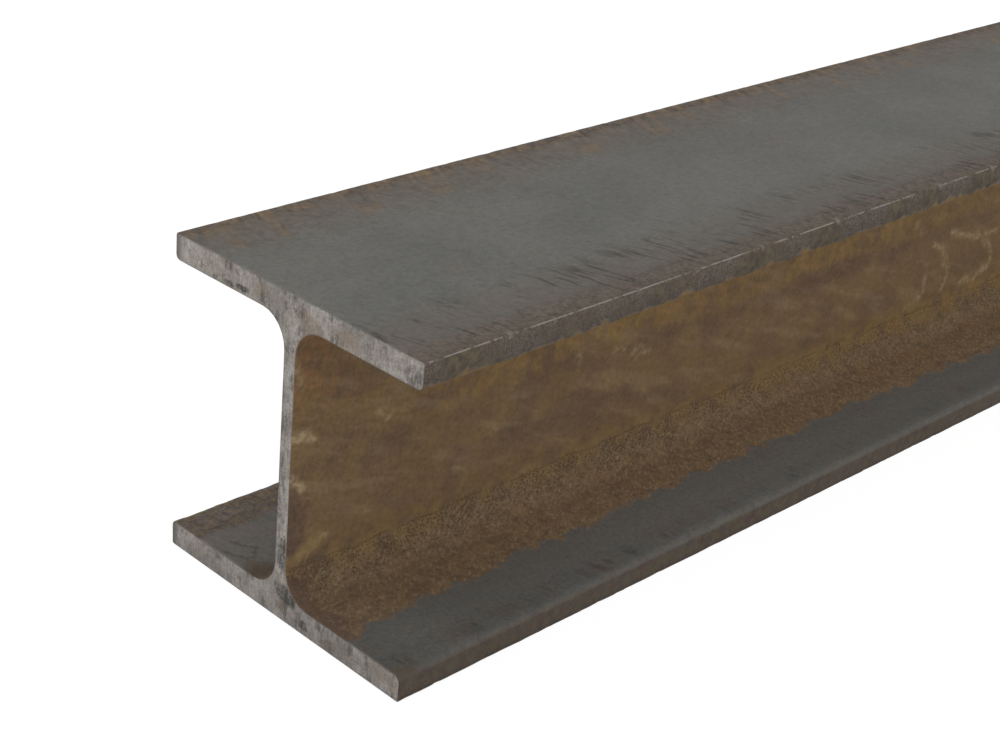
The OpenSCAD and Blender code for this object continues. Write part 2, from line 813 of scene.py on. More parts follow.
    def _fingers(self, p: Paint, s: Site, n: Grain, rusty: Signal, colour: Signal) -> Signal:
        """Fingers of rust that reach in from the left edge of the outer faces, with dark streaks.

        Args:
            p: The material's tree.
            s: The place.
            n: The shared noise.
            rusty: Noise that thins them out.
            colour: The scale below.

        Returns:
            The colour with the fingers on it.
        """
        streaks = p.noise(p.join(s.x - s.y * 0.45, s.y * 0.10, s.z), 4.2, 1.0, 0.6, seed=29)
        finger = p.noise(p.join(s.x - s.y * 0.3, 0.0, 0.0), 26.0, 1.0, seed=30).rise(0.51, 0.60)
        tips = s.edge + (n.dapple - 0.5) * 14.0 - 12.0 - finger * self.finger
        lane = tips.fall(-8.0, 7.0) * s.left * s.outer * rusty.rise(0.32, 0.50)
        blotch = abs(tips + 3.0).fall(1.0, 7.0) * finger * s.left * s.outer
        colour = p.mix(streaks.rise(0.50, 0.68) * lane * 0.55, colour, self.band_orange)
        colour = p.mix(streaks.fall(0.30, 0.46) * lane * 0.65, colour, self.band_dark)
        return p.mix(blotch * 0.5, colour, self.band_orange)

    def _weather_and_shade(self, p: Paint, s: Site, n: Grain, colour: Signal) -> Signal:
        """Painted shade on the inner faces near the sawn end, a brown corner there, and small dark
        flecks.

        Args:
            p: The material's tree.
            s: The place.
            n: The shared noise.
            colour: The scale below.

        Returns:
            The weathered colour.
        """
        # Painted shade: the right inner faces darker near the sawn end and towards the toes.
        dim = s.x.fall(-480.0, -280.0) * 0.16 + s.x.fall(-502.0, -465.0) * 0.2
        dim = dim + s.out.rise(60.0, 68.0) * 0.08
        colour = p.shade(colour, s.outer.most(1.0 - dim * s.right))
        lift = (s.x.fall(-430.0, -380.0) * 0.04 - s.out.rise(50.0, 64.0) * 0.06) * s.right
        lift = lift + s.x.rise(50.0, 150.0) * s.out.fall(24.0, 40.0) * 0.07
        colour = p.shade(colour, 1.0 + lift * s.outer)
        end, toe = s.x + self.section.length / 2, s.y + self.section.reach
        corner = end.hypot(toe * 1.6) + (n.dapple - 0.5) * 16.0
        colour = p.mix(corner.fall(8.0, 18.0) * s.inner * s.lower * 0.7, colour, self.band_brown)
        flecks = p.cells(s.x, s.y + s.z, self.fleck_spacing).fall(0.03, 0.08)
        return p.mix(flecks * 0.45, colour, self.slate_dark)

    def _cover(self, p: Paint, s: Site, n: Grain) -> Signal:
        """Where rust lies: on the web and roots, out to a stepped border on the flanges.

        Args:
            p: The material's tree.
            s: The place.
            n: The shared noise.

        Returns:
            The mask of the rust.
        """
        drift = p.noise(p.join(s.x, 0.0, s.z * 0.02), 40.0, 2.0, seed=11)
        step = abs((s.x + drift * 70.0) / self.border_step % 1.0 - 0.5) * 2.0
        border = self.border + step * 5.0 + (drift - 0.5) * 8.0 + (n.dapple - 0.5) * 9.0
        border = border - s.left * self.border_left
        border = border + s.x.fall(-500.0, -478.0) * 5.0 + s.x.rise(-170.0, 20.0) * 5.7
        border = border + (n.mottle - 0.5) * 5.0
        soft = 2.2 + s.left * 5.0
        inner = self.section.inner_face
        return (s.out - border).fall(-soft, soft) * s.up.fall(inner + 5.0, inner + 6.0)

    def _rust(self, p: Paint, s: Site, n: Grain) -> Coat:
        """The rust: clouded and smooth on the web, a granular crust in the roots, pits between.

        Args:
            p: The material's tree.
            s: The place.
            n: The shared noise.

        Returns:
            The rust.
        """
        glow = p.noise(p.at, 12.0, 2.0, 0.55, seed=17)
        bent = p.join((n.dapple - 0.5) * 7.0, 0.0, (n.tint - 0.5) * 16.0)
        warped = p.vector(VectorOp.ADD, p.join(s.x, 0.0, s.z), bent)
        fringe = s.z + (n.dapple - 0.5) * 9.0 + (n.mottle - 0.5) * 8.0
        fringe = fringe.fall(self.pit_height - 4.0, self.pit_height + 5.0)
        crusted = s.out.rise(5.5, 9.0).most(fringe) * s.lower + s.out.rise(12.0, 30.0) * s.upper
        web, crust = self._web_colour(p, s, n, glow, warped), self._crust_colour(p, s, n)
        colour = p.mix(crusted, web, crust)
        singed = s.x + (n.dapple - 0.5) * 12.0 + (n.mottle - 0.5) * 8.0
        singed = singed.fall(-497.5, -488.0) * s.right
        colour = p.mix(singed * s.z.fall(36.0, 46.0) * 0.6, colour, self.burnt)
        on_web = s.out.fall(8.0, 14.0)
        golden = abs(s.z - self.pit_height + 1.0).fall(1.0, 10.0) * on_web
        sweep = p.stroke(self.sweep, warped).fall(1.0, 8.0) * on_web
        gold = (golden * glow.rise(0.40, 0.60) * 0.4).most(sweep * self.sweep.strength)
        colour = p.mix(gold, colour, self.rust_gold)
        orange = golden * s.x.rise(-300.0, 0.0) * glow.rise(0.36, 0.54) * 0.6
        colour = p.mix(orange, colour, self.rust_orange)
        colour = p.mix(self._pits(p, s, n) * 0.70, colour, self.pit)
        return Coat(colour, 0.88, 0.0)

    def _web_colour(self, p: Paint, s: Site, n: Grain, glow: Signal, warped: Signal) -> Signal:
        """Clouded rust of the web, drawn out along its slant, with dark patches and pale blooms.

        Args:
            p: The material's tree.
            s: The place.
            n: The shared noise.
            glow: Noise of the orange patches.
            warped: The place in the web's plane, bent by noise.

        Returns:
            Its colour.
        """
        cosine, sine = self.slant
        fall = s.x * cosine - s.z * sine
        rise = s.x * sine + s.z * cosine
        wide = p.noise(p.join(fall * 0.45, s.out, rise), 22.0, 3.0, 0.5, seed=13)
        drawn = p.noise(p.join(fall * 0.2, s.out, rise), 6.0, 2.0, 0.55, seed=18)
        web = p.mix(wide.rise(0.34, 0.62), self.rust_plum, self.rust)
        web = p.mix(n.tint.rise(0.38, 0.70), web, self.rust_olive)
        web = p.mix(drawn.rise(0.50, 0.68) * 0.28, web, self.haze)
        under_flange = s.z.rise(75.0, 85.0) * (0.3 + s.x.rise(-440.0, -390.0) * 0.4)
        above_pits = s.z.fall(30.0, 42.0) * 0.25
        web = p.mix(glow.rise(0.42, 0.60) * under_flange.most(above_pits), web, self.rust_orange)
        near_top = s.x.fall(-488.0, -462.0) * s.z.rise(92.0, 118.0) * n.dapple.rise(0.40, 0.56)
        web = p.mix(near_top * 0.42, web, self.rust_red)
        burnt = (s.x + (n.dapple - 0.5) * 24.0).fall(-497.0, -484.0) * s.z.fall(50.0, 84.0)
        web = p.mix(burnt * 0.7, web, self.burnt)
        bent = (n.tint - 0.5) * 1.6
        # hollow is the distance to the nearest dark patch.
        hollow = reduce(Signal.least, [p.oval(s.x, s.z, spot) + bent for spot in self.dark_patches])
        web = p.mix(hollow.fall(0.4, 1.4) * 0.34, web, self.burnt)
        trails = [p.stroke(trail, warped).fall(0.0, 4.0) * trail.strength for trail in self.blooms]
        broken = (0.25 + n.dapple.rise(0.36, 0.58) * 0.8) * (0.3 + n.mottle * 0.8)
        web = p.mix(reduce(Signal.most, trails) * broken, web, self.bloom)
        web = p.mix(s.x.rise(-60.0, 40.0) * 0.42, web, self.rust_olive)
        tone = 1.02 + (drawn - 0.5) * 0.34 + (n.dapple - 0.5) * 0.26 + (n.mottle - 0.5) * 0.74
        return self._shaded(p, s, web, tone)

    @staticmethod
    def _shaded(p: Paint, s: Site, web: Signal, tone: Signal) -> Signal:
        """Darkens the web with painted shade under the top flange and at its foot, and near the
        sawn end and far along it.

        Args:
            p: The material's tree.
            s: The place.
            web: The web's colour.
            tone: How light it is before that.

        Returns:
            The shaded colour.
        """
        # Painted shade under the top flange (high) and at the web's foot (foot).
        high = s.z.rise(60.0, 76.0) * 0.07
        near = 0.03 + abs(s.z - 54.0).fall(5.0, 9.0) * 0.07 + s.z.rise(77.0, 86.0) * 0.03
        near = s.x.fall(-430.0, -395.0) * near
        far = s.x.rise(-40.0, 40.0) * (0.04 + abs(s.z - 47.0).fall(6.0, 14.0) * 0.07)
        foot = 0.09 + s.x.rise(-300.0, -100.0) * 0.06 - s.x.rise(30.0, 60.0) * 0.14
        foot = s.z.fall(28.0, 38.0) * foot
        return p.shade(web, tone - high - near - far - foot)

    def _crust_colour(self, p: Paint, s: Site, n: Grain) -> Signal:
        """Granular rust of the roots: a dark ground with short pale dashes across the flange.

        Args:
            p: The material's tree.
            s: The place.
            n: The shared noise.

        Returns:
            Its colour.
        """
        girth = s.z - s.out
        across = p.join((s.x + girth) * 0.28, (s.x - girth) * 0.75, 0.0)
        dash = p.noise(across, 1.5, 1.0, 0.5, seed=27)
        patch = p.noise(p.at, 9.0, 2.0, 0.6, seed=20)
        grain = n.rod * 0.45 + n.mottle * 0.3 + n.dapple * 0.25
        crust = p.mix(grain.rise(0.38, 0.60), self.crust_dark, self.crust_mid)
        crust = p.mix(dash.rise(0.54, 0.68) * 0.45, crust, self.crust_pale)
        crust = p.mix(dash.fall(0.32, 0.42) * 0.3, crust, self.crust_dark)
        crust = p.mix(patch.rise(0.54, 0.66) * s.out.fall(14.0, 22.0) * 0.16, crust, self.chalk)
        orange = n.tint.rise(0.54, 0.64) * s.out.fall(26.0, 36.0) * 0.2
        crust = p.mix(orange, crust, self.rust_orange)
        crust = p.mix(patch.rise(0.50, 0.62) * 0.30, crust, self.rust_olive)
        crust = p.mix(patch.fall(0.36, 0.46) * 0.35, crust, self.rust_plum)
        tone = 0.76 + s.x.rise(-499.0, -472.0) * 0.20 + s.x.rise(-470.0, -330.0) * 0.24
        tone = tone + s.x.rise(-330.0, 0.0) * 0.05 - s.out.rise(27.0, 36.0) * s.lower * 0.06
        tone = tone + (patch - 0.5) * 0.45 + (n.dapple - 0.5) * 0.3
        # Painted shade in the hollow of the lower root, strongest near the web and deeper further
        # along the beam.
        deep = 0.21 + s.x.rise(-430.0, -340.0) * 0.12 + s.x.rise(-200.0, -50.0) * 0.06
        curve = girth.rise(-8.0, 19.0) * girth.fall(18.0, 31.0) * deep
        crust = p.shade(crust, tone * (1.0 - curve))
        return p.shade(p.mix(s.left * 0.45, crust, self.band_low), 1.0 - s.left * 0.35)

    def _pits(self, p: Paint, s: Site, n: Grain) -> Signal:
        """A belt of small pits with a broken seam above it, where the lower root runs out.

        Args:
            p: The material's tree.
            s: The place.
            n: The shared noise.

        Returns:
            The mask of the pits and the seam.
        """
        away = s.z - self.pit_height - (n.tint - 0.5) * 6.0
        crowd = p.noise(p.at, 13.0, 1.0, seed=21).rise(0.32, 0.56)
        holes = p.cells(s.x, s.z - s.out, self.pit_spacing, 0.95)
        dense = 1.0 - (away + 1.5).most(away * -0.34 - 0.5) / (3.2 + crowd * 2.4)
        size = dense.rise(0.0, 0.8) * (0.24 + crowd * 0.13)
        grains = n.rod.fall(0.36, 0.48) * dense.rise(0.0, 0.4)
        seam = abs(away - 0.6).fall(0.2, 0.9) * (0.35 + crowd * 0.65)
        marks = (holes - size).fall(-0.2, 0.0).most(grains * 0.75).most(seam * 0.6)
        return marks * s.out.fall(12.0, 18.0)

    def _toes(self, p: Paint, s: Site, n: Grain, below: Coat) -> Coat:
        """The flange toes: dark coarse edge faces with a torn lower edge, and worn corners with a
        painted highlight.

        Args:
            p: The material's tree.
            s: The place.
            n: The shared noise.
            below: The skin that they lie on.

        Returns:
            The finished skin.
        """
        reach, inner = self.section.reach, self.section.inner_face
        turned = s.up.fall(inner + 0.4, inner + 3.0) * s.upper * 2.2
        face = (s.out + turned + (n.mottle - 0.5) * 0.6).rise(reach - 1.0, reach - 0.5)
        seated = (s.up + (n.mottle - 0.5) * 1.6).rise(inner + 1.8, inner + 3.0)
        # The bottom toes' colour also lies half over their rounded upper corner: partly its own
        # colour, partly painted shade that dims the corner's highlight.
        softened = s.out.rise(reach - 3.0, reach - 1.2) * s.lower * 0.45
        face = face * s.upper.most(0.6 + seated * 0.4)
        face = face.most(softened * s.up.rise(inner - 1.0, inner))
        wave = p.noise(p.join(s.x, 0.0, s.z * 0.05), 14.0, 3.0, 0.75, seed=25)
        torn = s.up - inner - 1.1 + (wave - 0.515) * 17.0
        toe = p.mix(torn.fall(0.3, 1.4) * 0.22 * s.upper, self._toe_colour(p, s, n), self.toe_pale)
        bite = p.shade(p.mix(n.dapple.rise(0.40, 0.60), self.rust, self.rust_orange), 0.78)
        toe = p.mix(torn.fall(-0.6, 0.4) * 0.9 * s.upper, toe, bite)
        coat = p.lay(face, below, Coat(toe, 0.8, 0.0))
        # Painted highlight: a broken bright line along the flanges' outer corners and glints at
        # their worn nicks, in the worn colour.
        corner = reach + self.section.middle
        arris = (s.out + s.up).rise(corner - 0.97, corner - 0.90)
        nick = p.node("ShaderNodeAttribute", {"attribute_name": "nick"})["Fac"]
        bright = p.noise(p.join(s.x, 0.0, 0.0), 11.0, 3.0, 0.8, seed=26).rise(0.42, 0.56)
        highlight = (arris * bright).most(nick.rise(0.30, 0.75) * 0.38)
        return p.lay(highlight * 0.62, coat, Coat(self.worn, 0.45, 0.5))

    def _toe_colour(self, p: Paint, s: Site, n: Grain) -> Signal:
        """Coarse scale of a toe, in stretches of grey and olive above and plum below, with painted
        light and shade.

        Args:
            p: The material's tree.
            s: The place.
            n: The shared noise.

        Returns:
            Its colour.
        """
        stretch = p.noise(p.join(s.x, 0.0, s.z * 0.2), 30.0, 1.0, 0.5, seed=24)
        grain = n.speckle * 0.6 + n.mottle * 0.4
        coarse = p.mix(grain.rise(0.34, 0.64), self.toe_dark, self.toe_grey)
        plain = p.mix(n.dapple.rise(0.34, 0.66), self.toe_dark, self.toe_olive)
        toe = p.mix(stretch.rise(0.42, 0.56), p.shade(plain, 0.85 + n.mottle * 0.4), coarse)
        low = p.mix(n.dapple.rise(0.36, 0.64), self.toe_plum, self.toe_olive)
        toe = p.mix(s.lower * 0.75, toe, low)
        # Painted light and shade: the top toes lighter than the bottom ones and lighter towards
        # their top; far darkens the top toes far along; foot paints shade on the lower part of the
        # far top toes and a shadow along the foot of the bottom toes, where they meet the floor.
        tone = 0.64 + n.tint * 0.12 + s.upper * 0.09 + s.z.rise(149.0, 158.0) * 0.22
        far = (s.x.rise(-330.0, -100.0) * 0.09 + s.x.rise(60.0, 140.0) * 0.04) * s.upper
        foot = s.z.fall(149.0, 156.0) * s.x.rise(-200.0, -50.0) * s.upper * 0.10
        foot = s.z.fall(1.5, 4.0) * 0.18 + foot
        return p.shade(toe, tone - far - foot)


@dataclass(frozen=True)
class SawnSteel:
    """Finish of the end faces: bare steel with the marks of a band saw, stains and pits.

    Places are in millimetres.
    """

    section: Section
    smudges: tuple[Spot, ...] = (
        Spot(33.0, 150.0, 5.0, 2.5, 1.3), Spot(42.0, 149.0, 4.0, 2.0, 1.2),
        Spot(-4.0, 152.0, 7.0, 4.0, 0.8), Spot(-24.0, 153.0, 7.0, 3.0, 0.4),
        Spot(2.0, 132.0, 2.5, 10.0, 0.5), Spot(2.5, 56.0, 2.5, 10.0, 0.9),
        Spot(-1.0, 34.0, 5.0, 13.0, 1.2), Spot(-6.0, 15.0, 9.0, 6.0, 1.2),
        Spot(-17.0, 5.0, 5.0, 3.0, 1.1), Spot(-33.0, 4.0, 7.0, 2.5, 0.8),
        Spot(61.0, 8.0, 3.0, 3.0, 0.6),
    )
    stains: tuple[Spot, ...] = (
        Spot(-33.0, 151.0, 9.0, 5.0, 0.9), Spot(-77.0, 6.0, 4.0, 7.0, 1.0),
        Spot(20.0, 154.0, 6.0, 3.0, 0.5), Spot(-12.0, 150.0, 9.0, 7.0, 0.7),
        Spot(-68.0, 8.0, 8.0, 4.0, 0.6), Spot(52.0, 152.0, 12.0, 4.0, 0.35),
    )
    bare: Colour = (0.252, 0.222, 0.198)
    pale: Colour = (0.318, 0.288, 0.264)
    dull: Colour = (0.125, 0.108, 0.094)
    stain: Colour = (0.215, 0.150, 0.088)
    dirt: Colour = (0.060, 0.056, 0.048)

    def build(self) -> bpy.types.Material:
        """Builds the material.

        Returns:
            The material of both sawn ends.
        """
        p = Paint("sawn_steel")
        s = p.site(self.section)
        lean = s.y + s.z * 0.04
        stroke = p.noise(p.join(lean, s.x, s.z * 0.10), 0.9, 1.0, 0.6, seed=1)
        wide = p.noise(p.join(lean, s.x, s.z * 0.25), 3.2, 2.0, 0.6, seed=2)
        cloud = p.noise(p.at, 16.0, 3.0, 0.65, seed=3)
        fine = p.noise(p.at, 1.1, 1.0, 0.6, seed=4)
        colour = p.mix(cloud.rise(0.38, 0.62), self.bare, self.pale)
        marks = 1.0 + (stroke - 0.5) * 0.5 + (wide - 0.5) * 0.45 + (fine - 0.5) * 1.1
        colour = p.shade(colour, marks)
        colour = p.mix(wide.rise(0.58, 0.74) * 0.28, colour, self.dull)
        rusty = p.noise(p.at, 12.0, 2.0, 0.6, seed=6).rise(0.60, 0.70)
        rusty = self._spotted(p, s, cloud, self.stains, rusty)
        colour = p.mix(rusty * 0.5, colour, self.stain)
        dim = s.z.fall(10.0, 18.0) * 0.24 + s.z.rise(10.0, 30.0) * 0.05
        colour = p.shade(colour, 1.0 - dim + (cloud - 0.5) * 0.55)
        dark = self._dirt(p, s, cloud)
        colour = p.mix(dark * 0.8, colour, self.dirt)
        rim = (self._inside(s) + (fine - 0.5) * 1.2).fall(0.1, 1.0)
        colour = p.mix(rim * 0.5, colour, self.dull)
        # Painted shade: a dark strip along the left toes of the end face, in the dull and dirt
        # colours.
        toe = (s.y + (cloud - 0.5) * 6.0).rise(self.section.reach - 4.6, self.section.reach - 2.0)
        colour = p.mix(toe * 0.8, colour, p.mix(s.z.fall(20.0, 40.0) * 0.6, self.dull, self.dirt))
        height = (stroke - 0.5) * 0.10 + (wide - 0.5) * 0.12 - dark * 0.2
        coat = Coat(colour, 0.55 + dark * 0.3, 0.25 - dark * 0.25)
        return p.finish(coat, height, Specular_IOR_Level=0.5)

    @staticmethod
    def _spotted(p: Paint, s: Site, cloud: Signal, spots: tuple[Spot, ...],
                 mask: Signal) -> Signal:
        """Adds spots with torn edges to a mask.

        Args:
            p: The material's tree.
            s: The place.
            cloud: Noise that tears their edges.
            spots: The spots.
            mask: The mask.

        Returns:
            The mask with the spots.
        """
        for spot in spots:
            away = p.oval(s.y, s.z, spot) + (cloud - 0.5) * 1.6
            mask = mask.most(away.fall(0.4, 1.3) * spot.strength)
        return mask

    def _dirt(self, p: Paint, s: Site, cloud: Signal) -> Signal:
        """Specks and drips of dirt, thick at the smudges.

        Args:
            p: The material's tree.
            s: The place.
            cloud: Noise that tears the smudges' edges.

        Returns:
            The mask of the dirt.
        """
        crowd = p.noise(p.at, 10.0, 2.0, 0.6, seed=7).rise(0.42, 0.66) * 0.8
        crowd = self._spotted(p, s, cloud, self.smudges, crowd)
        specks = (p.cells(s.y, s.z, 1.9) - crowd * 0.38).fall(-0.2, 0.02) * crowd.most(0.5)
        drip = p.noise(p.join(s.y, s.x, s.z * 0.22), 2.4, 2.0, 0.6, seed=8).rise(0.46, 0.62)
        return specks.most(drip * (crowd - 0.25) * 1.5).most((crowd - 0.7) * 1.5)

    def _inside(self, s: Site) -> Signal:
        """How far a point of the end face lies inside the section's outline.

        Args:
            s: The place.

        Returns:
            The distance from the outline, near enough: exact along its straight sides.
        """
        size = self.section
        plate = (s.up - size.inner_face).least(size.middle - s.up).least(size.reach - s.out)
        arm = size.root_radius + size.web_face
        rise = s.up - size.inner_face + size.root_radius
        hollow = (arm - s.out).hypot(rise) - size.root_radius
        root = hollow.least(arm - s.out).least(rise).least(size.middle - s.up)
        return plate.most(size.web_face - s.out).most(root)


@dataclass(frozen=True)
class RolledBeam:
    """The beam: one length of the rolled section, sawn at both ends. Its sizes are in metres.

    rings is how many sections stand along it, crowding how much closer they are near the first
    end, girth_pitch their spacing round the outline and arc_steps the steps of each rounded
    corner. rim is the bevel of the sawn ends, swell and toe_wave how uneven the skin and the
    lower toes are, and nick_pitch and nick_depth the spacing and depth of nicks on the corners.
    """

    node: str = "h_beam"
    section: Section = Section()
    rings: int = 356
    crowding: float = 0.42
    girth_pitch: float = 0.0042
    arc_steps: int = 6
    rim: float = 0.0004
    swell: float = 0.00018
    nick_pitch: float = 0.024
    nick_depth: float = 0.0005
    toe_wave: float = 0.0008

    def build(self) -> bpy.types.Object:
        """Sweeps the section along the length that the frame gives.

        Returns:
            The finished piece.
        """
        low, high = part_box(self.node)
        outline = self._outline()
        tree = self._tree(low.x, high.x)
        modifier = outline.modifiers.new("rolling", "NODES")
        modifier.node_group = tree
        skin, sawn = RolledSkin(self.section).build(), SawnSteel(self.section).build()
        for item in tree.interface.items_tree:
            if item.in_out == "INPUT" and item.name in ("Skin", "Sawn"):
                modifier[item.identifier] = skin if item.name == "Skin" else sawn
        outline.data.materials.append(skin)
        graph = bpy.context.evaluated_depsgraph_get()
        mesh = bpy.data.meshes.new_from_object(outline.evaluated_get(graph), depsgraph=graph)
        mesh.name = "h_beam_steel"
        bpy.data.objects.remove(outline)
        beam = bpy.data.objects.new("h_beam_steel", mesh)
        bpy.context.scene.collection.objects.link(beam)
        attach(beam, "root")
        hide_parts(self.node)
        return beam

    def _outline(self) -> bpy.types.Object:
        """The section's sharp-cornered outline, with each corner's radius as an attribute.

        Returns:
            A ring of edges in the plane of X and Y.
        """
        corners = self.section.corners()
        mesh = bpy.data.meshes.new("section_outline")
        count = len(corners)
        points = [(y * MM, -z * MM, 0.0) for y, z, _ in corners]
        mesh.from_pydata(points, [(i, (i + 1) % count) for i in range(count)], [])
        radius = mesh.attributes.new("corner_radius", "FLOAT", "POINT")
        radius.data.foreach_set("value", [r * MM for _, _, r in corners])
        made = bpy.data.objects.new("section_outline", mesh)
        bpy.context.scene.collection.objects.link(made)
        return made

    def _tree(self, start: float, finish: float) -> bpy.types.NodeTree:
        """The tree that rounds, sweeps and roughens the section.

        Args:
            start: Where the beam starts along X.
            finish: Where it ends.

        Returns:
            The geometry node tree.
        """
        tree = bpy.data.node_groups.new("rolled_length", "GeometryNodeTree")
        sizes = {
            "Start": start, "Finish": finish, "Rim": self.rim, "Girth Pitch": self.girth_pitch,
            "Crowding": self.crowding, "Swell": self.swell, "Nick Pitch": self.nick_pitch,
            "Nick Depth": self.nick_depth, "Toe Wave": self.toe_wave,
            "Reach": self.section.reach * MM, "Half Depth": self.section.middle * MM,
        }
        self._input(tree, "Outline", Input.GEOMETRY)
        for name, value in sizes.items():
            self._input(tree, name, Input.NUMBER).default_value = value
        self._input(tree, "Rings", Input.COUNT).default_value = self.rings
        self._input(tree, "Arc Steps", Input.COUNT).default_value = self.arc_steps
        self._input(tree, "Skin", Input.MATERIAL)
        self._input(tree, "Sawn", Input.MATERIAL)
        tree.interface.new_socket("Beam", in_out="OUTPUT", socket_type=Input.GEOMETRY.value)
        g = Graph(tree)
        given = g.node("NodeGroupInput")
        profile = self._profile(g, given)
        path = self._path(g, given)
        swept = g.node("GeometryNodeCurveToMesh", {},
                       {"Curve": path, "Profile Curve": profile, "Fill Caps": True})[0]
        beam = self._relief(g, given, swept)
        g.node("NodeGroupOutput", {}, {0: self._dress(g, given, beam)})
        return tree

    @staticmethod
    def _input(tree: bpy.types.NodeTree, name: str,
               kind: Input) -> bpy.types.NodeTreeInterfaceSocket:
        """Adds a named input to a tree."""
        return tree.interface.new_socket(name, in_out="INPUT", socket_type=kind.value)

    @staticmethod
    def _profile(g: Graph, given: Outputs) -> Signal:
        """Rounds the outline's corners and divides its long sides.

        Args:
            g: The tree.
            given: The tree's inputs.

        Returns:
            The profile curve.
        """
        curve = g.node("GeometryNodeMeshToCurve", {}, {0: given["Outline"]})[0]
        radius = g.node("GeometryNodeInputNamedAttribute", {"data_type": "FLOAT"},
                        {"Name": "corner_radius"})[0]
        rounded = g.node("GeometryNodeFilletCurve", {"mode": "POLY"},
                         {"Curve": curve, "Count": given["Arc Steps"], "Radius": radius})[0]
        index = g.node("GeometryNodeInputIndex")[0]
        spot = g.node("GeometryNodeInputPosition")[0]
        size = g.node("GeometryNodeAttributeDomainSize", {"component": "CURVE"}, {0: rounded})
        settings = {"data_type": "FLOAT_VECTOR", "domain": "POINT"}
        after = g.node("GeometryNodeFieldAtIndex", settings,
                       {"Index": (index + 1.0) % size["Point Count"], "Value": spot})[0]
        gap = g.vector(VectorOp.DISTANCE, spot, after)
        cuts = (gap / given["Girth Pitch"]).floor()
        return g.node("GeometryNodeSubdivideCurve", {}, {0: rounded, "Cuts": cuts})[0]

    @staticmethod
    def _path(g: Graph, given: Outputs) -> Signal:
        """The line that the section follows, with its points closer together near the start.

        Args:
            g: The tree.
            given: The tree's inputs.

        Returns:
            The path curve.
        """
        rings = given["Rings"]
        line = g.node("GeometryNodeMeshLine", {"mode": "OFFSET"},
                      {"Count": rings, "Offset": (MM, 0.0, 0.0)})[0]
        index = g.node("GeometryNodeInputIndex")[0]
        share = ((index - 1.0) / (rings - 3.0)).most(0.0).least(1.0)
        eased = share * (1.0 - given["Crowding"]) + share * share * given["Crowding"]
        place = given["Start"] + (given["Finish"] - given["Start"]) * eased
        first = (index > 0.5) * (index < 1.5)
        last = (index > rings - 2.5) * (index < rings - 1.5)
        place = place + given["Rim"] * (first - last)
        spaced = g.node("GeometryNodeSetPosition", {},
                        {0: line, "Position": g.join(place, 0.0, 0.0)})[0]
        return g.node("GeometryNodeMeshToCurve", {}, {0: spaced})[0]

    @staticmethod
    def _relief(g: Graph, given: Outputs, swept: Signal) -> Signal:
        """Bevels the sawn rims and roughens the skin, most of all at the toes.

        Args:
            g: The tree.
            given: The tree's inputs.
            swept: The plain sweep.

        Returns:
            The mesh with its relief and two attributes: nick, how deep the corners are nicked,
            and rolled, the place of each point before the relief.
        """
        normal = g.node("GeometryNodeInputNormal")[0]
        level = g.vector(VectorOp.NORMALIZE, g.vector(VectorOp.MULTIPLY, normal, (0.0, 1.0, 1.0)))
        spot = g.node("GeometryNodeInputPosition")[0]
        x, y, z = g.split(spot)
        at = g.vector(VectorOp.SCALE, spot, Scale=1.0 / MM)
        reach, half, rim = given["Reach"], given["Half Depth"], given["Rim"]
        ends = (x < given["Start"] + rim * 0.5).most(x > given["Finish"] - rim * 0.5)
        out, up = abs(y), abs(z - half)
        low, high = z < half, z > half
        toe = out.rise(reach - 4.0 * MM, reach - 1.0 * MM)
        arris = (out + up).rise(reach * 2.0 - 4.0 * MM, reach * 2.0 - 1.2 * MM)
        lumps = g.noise(at, 9.0, 3.0, 0.55, seed=31) - 0.5
        waves = g.noise(g.join(x / MM, y * 40.0, z * 40.0), 13.0, 2.0, 0.55, seed=33) - 0.5
        under = out.rise(reach - 4.5 * MM, reach - 0.5 * MM)
        under = under * up.fall(half - 12.5 * MM, half - 8.0 * MM)
        swell = lumps * given["Swell"] * (1.0 + toe * (0.3 + low * 2.2))
        swell = swell + (waves * 2.0 - 0.2) * given["Toe Wave"] * under
        along = x / given["Nick Pitch"] + (y > 0.0) * 37.3 + high * 53.1
        near = g.node("ShaderNodeTexVoronoi", {"voronoi_dimensions": "1D", "feature": "F1"},
                      {"W": along, "Scale": 1.0, "Randomness": 0.6})["Distance"]
        size = g.noise(g.join(along, 0.0, 0.0), 1.6, 1.0, seed=32).rise(0.32, 0.62)
        nick = near.fall(0.02, 0.12) * size * arris * (0.35 + high * (y < 0.0) * 0.65)
        move = swell - nick * given["Nick Depth"] - ends * rim
        stored = swept
        for name, kind, value in (("nick", "FLOAT", nick), ("rolled", "FLOAT_VECTOR", spot)):
            settings = {"data_type": kind, "domain": "POINT"}
            stored = g.node("GeometryNodeStoreNamedAttribute", settings,
                            {"Geometry": stored, "Name": name, "Value": value})[0]
        shift = g.vector(VectorOp.SCALE, level, Scale=move)
        return g.node("GeometryNodeSetPosition", {}, {0: stored, "Offset": shift})[0]

